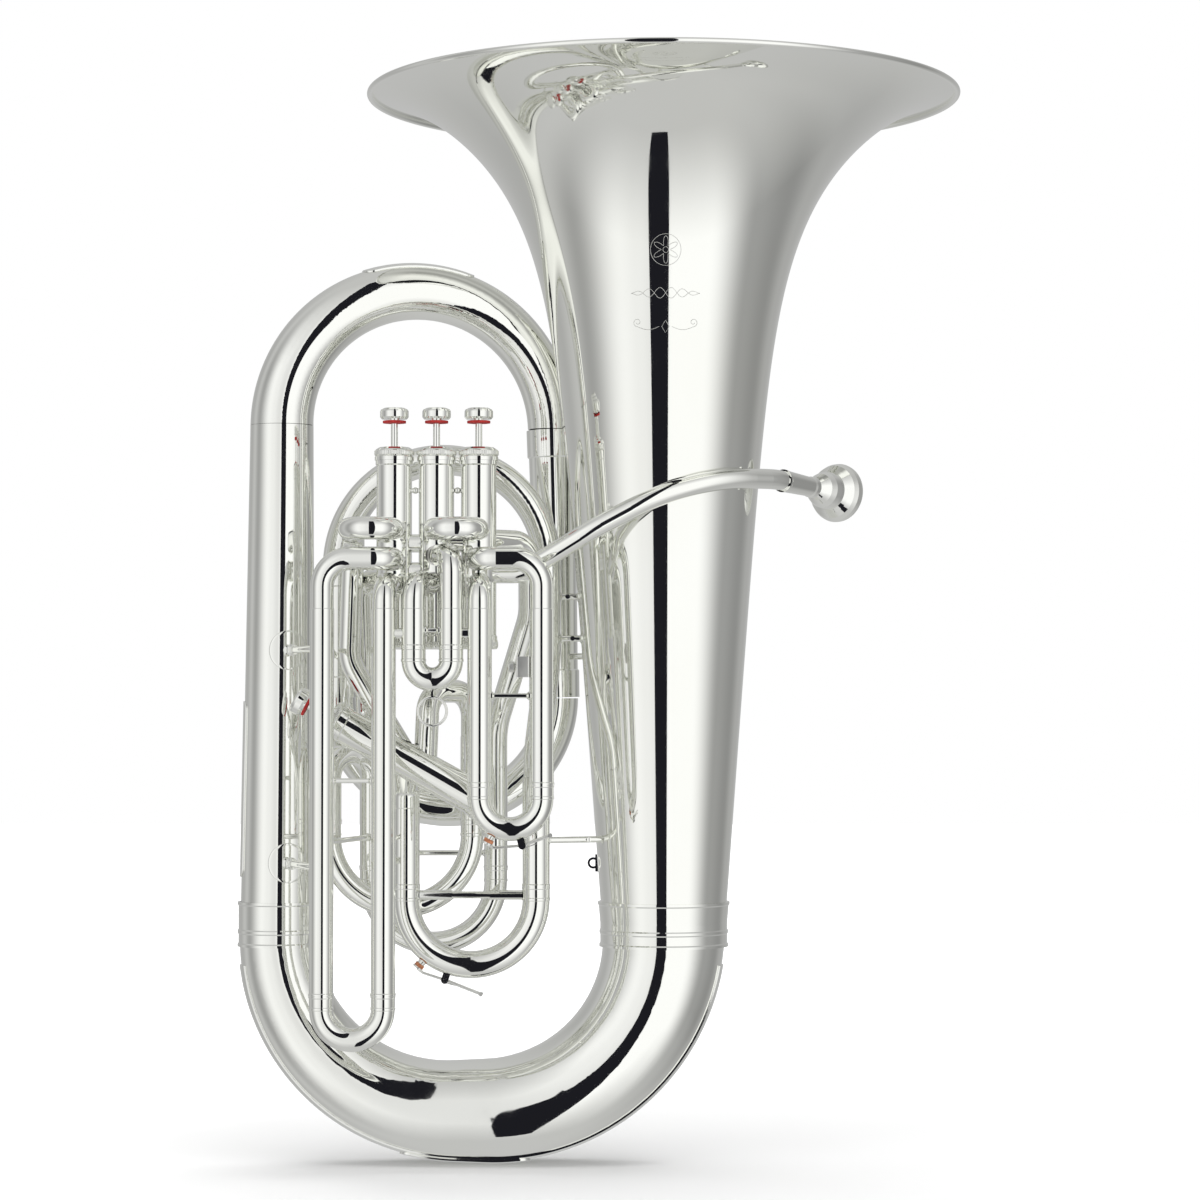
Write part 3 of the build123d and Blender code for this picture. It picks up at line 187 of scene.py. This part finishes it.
def axis_frame(direction):
    """Unit vector along a direction, and two unit vectors square to it."""
    along = Vector(direction).normalized()
    helper = Vector((0, 1, 0)) if abs(along.y) < 0.9 else Vector((1, 0, 0))
    first = along.cross(helper).normalized()
    return along, first, along.cross(first).normalized()


def swept(name, outline, around, place, material, body):
    """Closed piece from an outline carried round; place gives a point from angle, radius and distance."""
    verts = []
    faces = []
    count = len(outline)
    for turn in range(around):
        angle = 2 * math.pi * turn / around
        for radius, distance in outline:
            verts.append(place(angle, radius, distance))
    for turn in range(around):
        following = (turn + 1) % around
        for index in range(count):
            other = (index + 1) % count
            if outline[index][0] == 0 and outline[other][0] == 0:
                continue
            low = turn * count
            high = following * count
            faces.append((low + index, high + index, high + other, low + other))
    return add_piece(name, verts, faces, material, body)


def lathe(name, origin, direction, outline, material, body, around=64, wave=0.0, teeth=0):
    """Ring or knob turned about a direction; wave adds knurling of so many teeth."""
    along, first, second = axis_frame(direction)
    start = millimetres(origin)

    def place(angle, radius, distance):
        spoke = first * math.cos(angle) + second * math.sin(angle)
        if radius > 0 and teeth:
            radius += wave * (0.5 + 0.5 * math.cos(angle * teeth))
        return start + along * (distance / 1000) + spoke * (radius / 1000)

    return swept(name, outline, around, place, material, body)


def wire(name, points, radius, material, body, around=8):
    """Thin round wire through points in metres."""
    verts = []
    faces = []
    side = None
    for index, point in enumerate(points):
        before = points[max(index - 1, 0)]
        after = points[min(index + 1, len(points) - 1)]
        along = (after - before).normalized()
        if side is None:
            side = axis_frame(along)[1]
        side = (side - along * side.dot(along)).normalized()
        other = along.cross(side)
        for turn in range(around):
            angle = 2 * math.pi * turn / around
            verts.append(point + (side * math.cos(angle) + other * math.sin(angle)) * (radius / 1000))
    for index in range(len(points) - 1):
        for turn in range(around):
            following = (turn + 1) % around
            low = index * around
            high = low + around
            faces.append((low + turn, low + following, high + following, high + turn))
    last = (len(points) - 1) * around
    faces.append(tuple(range(around)))
    faces.append(tuple(last + turn for turn in range(around)))
    return add_piece(name, verts, faces, material, body)


HALF_SLOT = 0.3
SLOT_FLOOR = 0.7
HEAD_HEIGHT = 1.3


def screw(name, centre, direction, radius, body):
    """Slotted cheese-head screw: a round head with two half-moons left standing beside its slot."""
    along, first, second = axis_frame(direction)
    start = millimetres(centre)
    verts = []
    faces = []

    def prism(outline, low, high):
        """Straight-sided block over a flat outline."""
        base = len(verts)
        count = len(outline)
        for height in (low, high):
            for x, y in outline:
                verts.append(start + (first * x + second * y + along * height) / 1000)
        faces.append(tuple(base + index for index in range(count)))
        faces.append(tuple(base + count + index for index in range(count)))
        for index in range(count):
            other = (index + 1) % count
            faces.append((base + index, base + other, base + count + other, base + count + index))

    turns = [2 * math.pi * step / 48 for step in range(48)]
    prism([(radius * math.cos(turn), radius * math.sin(turn)) for turn in turns], 0, SLOT_FLOOR)
    lean = math.asin(HALF_SLOT / radius)
    arc = [lean + (math.pi - 2 * lean) * step / 16 for step in range(17)]
    for side in (1, -1):
        moon = [(radius * math.cos(turn), side * radius * math.sin(turn)) for turn in arc]
        prism(moon, SLOT_FLOOR, HEAD_HEIGHT)
    add_piece(name, verts, faces, silver, body, False)


# ------------------------------------------------------------------ caps and buttons
VALVE_X = (-95.7, -129.1, -162.5)
CASING_Y = -75.0
CAP_TOP = 573.6
FOURTH_CAP = (-213.4, -72.0, 360.1)
FOURTH_FALL = math.radians(29)
FOURTH_AXIS = Vector((math.cos(FOURTH_FALL), 0, -math.sin(FOURTH_FALL)))
CASING_LENGTHS = (159.6, 159.6, 159.6, 140.3)

cap_places = [((x, CASING_Y, CAP_TOP), Vector((0, 0, -1))) for x in VALVE_X] + [(FOURTH_CAP, FOURTH_AXIS)]
for index, (place, down) in enumerate(cap_places):
    number = index + 1
    knurl = [(15.45, 2.8), (15.55, 3.2), (15.55, 5.8), (15.45, 6.2)]
    lathe(f"cap_knurl_{number}", place, down, knurl, silver, "horn", 288, 0.28, 72)
    low = CASING_LENGTHS[index]
    foot = [(15.15, low - 5.8), (15.25, low - 5.4), (15.25, low - 2.2), (15.15, low - 1.8)]
    lathe(f"foot_knurl_{number}", place, down, foot, silver, "horn", 288, 0.25, 72)
    crown = [(0, -30.6), (8.0, -30.6), (8.7, -30.8), (8.7, -31.0), (7.9, -31.3), (0, -31.5)]
    lathe(f"button_crown_{number}", place, down, crown, silver, f"valve_{number}", 64)

# ------------------------------------------------------------------ screws and key springs
SCREW_RADIUS = 1.9
screw("stay_screw_upper", (-26.0, 1.6, 458.0), (0, -1, 0), SCREW_RADIUS, "horn")
screw("stay_screw_middle", (-22.0, 1.4, 424.0), (0, -1, 0), SCREW_RADIUS, "horn")
screw("stay_screw_lower", (-9.0, -28.8, 262.0), (0.394, -0.919, 0), SCREW_RADIUS, "horn")

# ------------------------------------------------------------------ plates and collars of the branch stays
BRANCH_X = -260.9
BRANCH_LEAN = 0.006
BRANCH_FOOT = 195.0
BRANCH_RADIUS = 29.4
BRANCH_RADIUS_HEIGHT = 243.0
BRANCH_TAPER = 0.0111
THIRD_SLIDE = (-216.0, -118.0)
STAY_RADIUS = 3.0
PLATE_RADIUS = 16.0
PLATE_TOP = 0.7
PLATE_UNDER = 0.06


def branch_plate(name, level, turned):
    """Thin round plate wrapped on the first branch under a stay; turned is the stay's bearing."""
    top = [(2 * step, PLATE_TOP) for step in range(8)]
    under = [(2 * step, PLATE_UNDER) for step in range(8, -1, -1)]
    outline = top + [(PLATE_RADIUS - 0.5, PLATE_TOP), (PLATE_RADIUS, PLATE_TOP - 0.35)] + under

    def place(angle, radius, lift):
        height = level + radius * math.sin(angle)
        branch = BRANCH_RADIUS - BRANCH_TAPER * (height - BRANCH_RADIUS_HEIGHT)
        bearing = turned + radius * math.cos(angle) / branch
        out = branch + lift
        middle = BRANCH_X + BRANCH_LEAN * (height - BRANCH_FOOT)
        return millimetres((middle + out * math.sin(bearing), -out * math.cos(bearing), height))

    swept(name, outline, 96, place, silver, "horn")


def stay_collar(name, level, way, distance, radius):
    """Turned bead on a branch stay, at a distance from the branch's axis."""
    inner = STAY_RADIUS - 0.1
    shoulder = (inner + radius) / 2 + 0.5
    half = radius * 0.6
    outline = [
        (inner, distance - half),
        (shoulder, distance - half * 0.8),
        (radius, distance - half * 0.3),
        (radius, distance + half * 0.3),
        (shoulder, distance + half * 0.8),
        (inner, distance + half),
    ]
    middle = BRANCH_X + BRANCH_LEAN * (level - BRANCH_FOOT)
    lathe(name, (middle, 0, level), way, outline, silver, "horn", 48)


for place_name, level in (("upper", 414.0), ("lower", 243.0)):
    reach = THIRD_SLIDE[0] - (BRANCH_X + BRANCH_LEAN * (level - BRANCH_FOOT))
    way = (reach, THIRD_SLIDE[1], 0)
    branch_plate(f"branch_plate_{place_name}", level, math.atan2(reach, -THIRD_SLIDE[1]))
    stay_collar(f"stay_collar_{place_name}", level, way, 38.0, 5.0)
    stay_collar(f"stay_ring_{place_name}", level, way, 44.0, 4.0)


KEY_BELOW = 10.4
KEY_OUTSIDE = 4.6
COIL_RADIUS = 2.65
COIL_HALF_WIDTH = 3.2
COIL_TURNS = 4
SPRING_LEG = 12


def key_spring(name, legs, depth, foot, tube, degrees, lean, body):
    """Fine spring wound round a water key's hinge barrel, with a leg along the lever."""
    turn = math.radians(degrees)
    middle = (legs[0] + legs[1]) / 2
    reach = (legs[1] - legs[0]) / 2 + tube + KEY_OUTSIDE
    height = foot - KEY_BELOW
    pin = Vector((middle - reach * math.sin(turn), depth, height - reach * math.cos(turn)))
    points = []
    steps = 96
    for step in range(steps + 1):
        angle = 2 * math.pi * COIL_TURNS * step / steps
        across = COIL_HALF_WIDTH * (2 * step / steps - 1)
        spot = pin + Vector((COIL_RADIUS * math.sin(angle), across, -COIL_RADIUS * math.cos(angle)))
        points.append(millimetres(spot))
    leg = Vector((SPRING_LEG * math.cos(lean), COIL_HALF_WIDTH, SPRING_LEG * math.sin(lean) - COIL_RADIUS))
    points.append(millimetres(pin + leg))
    wire(name, points, 0.35, steel, body, 6)


key_spring("main_key_spring", (-154.4, -50.7), -44.0, 225.4, 10.9, 18, -0.25, "key_main")
key_spring("first_key_spring", (-93.4, -45.2), -118.0, 308.0, 9.3, -14, 0.35, "key_first")

# ------------------------------------------------------------------ bell and its ornament
BELL_X = 51.9
RIM_HEIGHT = 868.0
RIM_RADIUS = 241.3
BELL_LENGTH = 673.0
BELL_FOOT_RADIUS = 50.0
BELL_WALL = 0.9
BEAD = 2.3
BEAD_FLAT = 0.2
BELL_SLOPE = 0.0738
FLARE_WIDTH = 118.0
FLARE_REACH = 68.0
LIP_WIDTH = 21.0
LIP_REACH = 7.0


def flare(drop):
    """Outside radius of the bell at a distance below its rim."""
    cone = BELL_FOOT_RADIUS + BELL_SLOPE * (BELL_LENGTH - drop)
    at_rim = BELL_FOOT_RADIUS + BELL_SLOPE * BELL_LENGTH + FLARE_WIDTH + LIP_WIDTH
    lip = LIP_WIDTH + RIM_RADIUS - 3.8 - at_rim
    return cone + FLARE_WIDTH * math.exp(-drop / FLARE_REACH) + lip * math.exp(-drop / LIP_REACH)


def smooth_bell():
    """Bell and rim bead turned finely enough for mirror plating."""
    outside = []
    inside = []
    for step in range(121):
        drop = BELL_LENGTH * (step / 120) ** 2.2
        edge = math.exp(-drop / LIP_REACH)
        outside.append((flare(drop), 1.0 + drop * (1 - 1.0 / BELL_LENGTH)))
        inside.append((flare(drop) - BELL_WALL * (1 - 0.35 * edge), drop))
    profile = outside + inside[::-1]
    top = (BELL_X, 0, RIM_HEIGHT)
    bell = lathe("bell_skin", top, (0, 0, -1), profile, silver, "horn", 320)
    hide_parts("bell")
    ring = []
    for step in range(24):
        angle = 2 * math.pi * step / 24
        drop = max(0, BEAD - BEAD_FLAT + BEAD * math.sin(angle))
        ring.append((RIM_RADIUS - BEAD + BEAD * math.cos(angle), drop))
    bead = lathe("bell_bead", top, (0, 0, -1), ring, silver, "horn", 320)
    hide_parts("bell_rim_bead")
    return bell


bell_surface = BVHTree.FromObject(smooth_bell(), bpy.context.evaluated_depsgraph_get())


def on_bell(across, height):
    """Point a hair proud of the front of the bell, from offsets in millimetres."""
    start = millimetres((BELL_X + across, -900, height))
    place, normal, _, _ = bell_surface.ray_cast(start, Vector((0, 1, 0)))
    if normal.y > 0:
        normal = -normal
    return place + normal * 0.00006


def engrave(name, points):
    """Fine cut line on the bell through (across, height) points."""
    wire(name, [on_bell(across, height) for across, height in points], 0.2, engraving, "horn", 6)


def polar_line(middle, low, high, radius_at, steps):
    """Points round a centre at angles from low to high, in degrees."""
    points = []
    for step in range(steps + 1):
        angle = math.radians(low + (high - low) * step / steps)
        radius = radius_at(angle)
        points.append((middle[0] + radius * math.sin(angle), middle[1] + radius * math.cos(angle)))
    return points


def braid(phase, height):
    """One strand of a two-strand braid."""
    points = []
    for step in range(81):
        across = -27 + 54 * step / 80
        fade = math.cos(math.pi * across / 58)
        points.append((across, height + 4.2 * fade * math.sin(phase + 2 * math.pi * across / 18)))
    return points


def scroll(side, height):
    """One curling scroll that runs outward from the middle and rolls up at its end."""
    points = []
    for step in range(31):
        share = step / 30
        points.append((side * (5 + 17 * share), height - 2.4 * math.sin(math.pi * share)))
    for step in range(1, 37):
        turn = math.radians(step * 12)
        radius = 3.4 * (1 - step / 50)
        points.append((side * (22 + radius * math.sin(turn)), height + 3.4 - radius * math.cos(turn)))
    return points


ROSETTE = (0, 727)
engrave("rosette_rim", polar_line(ROSETTE, 0, 360, lambda angle: 12.0, 72))
engrave("rosette_petals", polar_line(ROSETTE, 0, 360, lambda angle: 7.0 + 3.4 * math.cos(6 * angle), 144))
engrave("rosette_heart", polar_line(ROSETTE, 0, 360, lambda angle: 2.2, 36))
engrave("braid_one", braid(0, 694))
engrave("braid_two", braid(math.pi, 694))
engrave("lozenge", [(0, 673), (3, 668), (0, 663), (-3, 668), (0, 673)])
engrave("scroll_left", scroll(-1, 668))
engrave("scroll_right", scroll(1, 668))


# ------------------------------------------------------------------ light and surroundings
CAMERA_PLACE = (0.0003, -2.775, 0.368)
CAMERA_TILT = 1.8
CAMERA_LENS = 102.5
GAP_LEFT = -0.19
GAP_RIGHT = 0.12
GAP_FRONT = -1.0
GAP_FOOT = -1.7
GAP_TOP = 2.6
BLACK = (0.012, 0.012, 0.016)


def emission_material(name, colour, strength):
    """Plain glow, used only by cards that the camera does not see."""
    material = bpy.data.materials.new(name)
    material.use_nodes = True
    tree = material.node_tree
    tree.nodes.clear()
    output = tree.nodes.new("ShaderNodeOutputMaterial")
    glow = tree.nodes.new("ShaderNodeEmission")
    glow.inputs["Color"].default_value = (*colour, 1)
    glow.inputs["Strength"].default_value = strength
    tree.links.new(glow.outputs["Emission"], output.inputs["Surface"])
    return material


def hidden_card(name, corners):
    """Dark card that shows only in reflections; the camera looks through it and it casts no shadow."""
    mesh = bpy.data.meshes.new(name)
    mesh.from_pydata(corners, [], [tuple(range(len(corners)))])
    mesh.materials.append(emission_material(name, BLACK, 1.0))
    obj = bpy.data.objects.new(name, mesh)
    bpy.context.scene.collection.objects.link(obj)
    obj.visible_camera = False
    obj.visible_shadow = False
    obj.visible_diffuse = False
    obj.visible_transmission = False


def maths(tree, operation, first, second=None):
    """One arithmetic node; each input is a socket or a number."""
    node = tree.nodes.new("ShaderNodeMath")
    node.operation = operation
    for index, value in enumerate((first, second)):
        if value is None:
            continue
        if isinstance(value, (int, float)):
            node.inputs[index].default_value = value
        else:
            tree.links.new(value, node.inputs[index])
    return node.outputs[0]


def studio_world():
    """Two wide softboxes either side of the camera, falling to grey at the sides and overhead."""
    world = bpy.data.worlds.new("studio")
    bpy.context.scene.world = world
    world.use_nodes = True
    tree = world.node_tree
    tree.nodes.clear()
    output = tree.nodes.new("ShaderNodeOutputWorld")
    background = tree.nodes.new("ShaderNodeBackground")
    coords = tree.nodes.new("ShaderNodeTexCoord")
    split = tree.nodes.new("ShaderNodeSeparateXYZ")
    tree.links.new(coords.outputs["Generated"], split.inputs[0])
    front = maths(tree, "MULTIPLY", split.outputs["Y"], -1.0)
    azimuth = maths(tree, "ARCTAN2", split.outputs["X"], front)
    share = ramp(tree, azimuth, 0, 1, -math.pi, math.pi)
    grey = tree.nodes.new("ShaderNodeValToRGB")
    grey.color_ramp.interpolation = "EASE"
    tree.links.new(share, grey.inputs["Fac"])
    stops = grey.color_ramp.elements
    levels = [
        (-180, 0.52),
        (-130, 0.42),
        (-108, 0.52),
        (-86, 0.36),
        (-42, 0.96),
        (-26, 0.90),
        (-4, 0.78),
        (8, 1.04),
        (42, 1.04),
        (86, 0.34),
        (115, 0.28),
        (140, 0.40),
        (180, 0.52),
    ]
    for index, (degrees, level) in enumerate(levels):
        if index == 0:
            stop = stops[0]
        elif index == len(levels) - 1:
            stop = stops[-1]
        else:
            stop = stops.new((degrees + 180) / 360)
        stop.color = (level, level, level, 1)
    height = maths(tree, "ABSOLUTE", split.outputs["Z"])
    overhead = ramp(tree, height, 0, 1, 0.45, 0.95)
    sky = mix_node(tree, overhead)
    sky.inputs[MIX_SECOND].default_value = (0.55, 0.55, 0.55, 1)
    tree.links.new(grey.outputs["Color"], sky.inputs[MIX_FIRST])
    light_path = tree.nodes.new("ShaderNodeLightPath")
    backdrop = mix_node(tree, light_path.outputs["Is Camera Ray"])
    backdrop.inputs[MIX_SECOND].default_value = (1, 1, 1, 1)
    tree.links.new(sky.outputs[MIX_RESULT], backdrop.inputs[MIX_FIRST])
    tree.links.new(backdrop.outputs[MIX_RESULT], background.inputs["Color"])
    background.inputs["Strength"].default_value = 1.0
    tree.links.new(background.outputs[0], output.inputs["Surface"])


def pale_floor():
    """Pale floor with a faint contact shadow and a painted glow that grows with distance, so that it fades
    into the backdrop; it isn't mirrored.
    """
    edge = 8
    mesh = bpy.data.meshes.new("floor")
    level = -0.0004
    corners = [(-edge, -edge, level), (edge, -edge, level), (edge, edge, level), (-edge, edge, level)]
    mesh.from_pydata(corners, [], [(0, 1, 2, 3)])
    obj = bpy.data.objects.new("floor", mesh)
    bpy.context.scene.collection.objects.link(obj)
    material, tree, shader = new_material("floor")
    grain = ramp(tree, noise(tree, 3.0, 2.0), 0, 1)
    tint = blend_colour(tree, grain, (0.90, 0.90, 0.90), (0.885, 0.885, 0.885))
    tree.links.new(tint, shader.inputs["Base Color"])
    shader.inputs["Roughness"].default_value = 0.9
    shader.inputs["Specular IOR Level"].default_value = 0.05
    # Painted light: the floor glows white, more strongly the farther it lies from the middle, up to 0.75
    # from 3 m out.
    shader.inputs["Emission Color"].default_value = (1, 1, 1, 1)
    place = tree.nodes.new("ShaderNodeTexCoord")
    distance = tree.nodes.new("ShaderNodeVectorMath")
    distance.operation = "LENGTH"
    tree.links.new(place.outputs["Object"], distance.inputs[0])
    glow = ramp(tree, distance.outputs["Value"], 0.0, 0.75, 0.4, 3.0)
    tree.links.new(glow, shader.inputs["Emission Strength"])
    mesh.materials.append(material)
    obj.visible_glossy = False


def overhead_light():
    """Large soft lamp above; it lights the floor and stays out of the plating's reflections."""
    data = bpy.data.lights.new("overhead", "AREA")
    data.shape = "SQUARE"
    data.size = 4.0
    data.energy = 130.0
    lamp = bpy.data.objects.new("overhead", data)
    lamp.location = (0, 0, 3.4)
    lamp.visible_glossy = False
    bpy.context.scene.collection.objects.link(lamp)


studio_world()
pale_floor()
overhead_light()
hidden_card(
    "dark_gap",
    [
        (GAP_LEFT, GAP_FRONT, GAP_FOOT),
        (GAP_RIGHT, GAP_FRONT, GAP_FOOT),
        (GAP_RIGHT, GAP_FRONT, GAP_TOP),
        (GAP_LEFT, GAP_FRONT, GAP_TOP),
    ],
)

# ------------------------------------------------------------------ camera
camera_data = bpy.data.cameras.new("camera")
camera = bpy.data.objects.new("camera", camera_data)
bpy.context.scene.collection.objects.link(camera)
camera_data.sensor_width = 36.0
camera_data.lens = CAMERA_LENS
camera.location = CAMERA_PLACE
camera.rotation_euler = (math.radians(90 + CAMERA_TILT), 0, 0)
camera_data.clip_end = 50
bpy.context.scene.camera = camera
bpy.context.scene.view_settings.view_transform = "Standard"
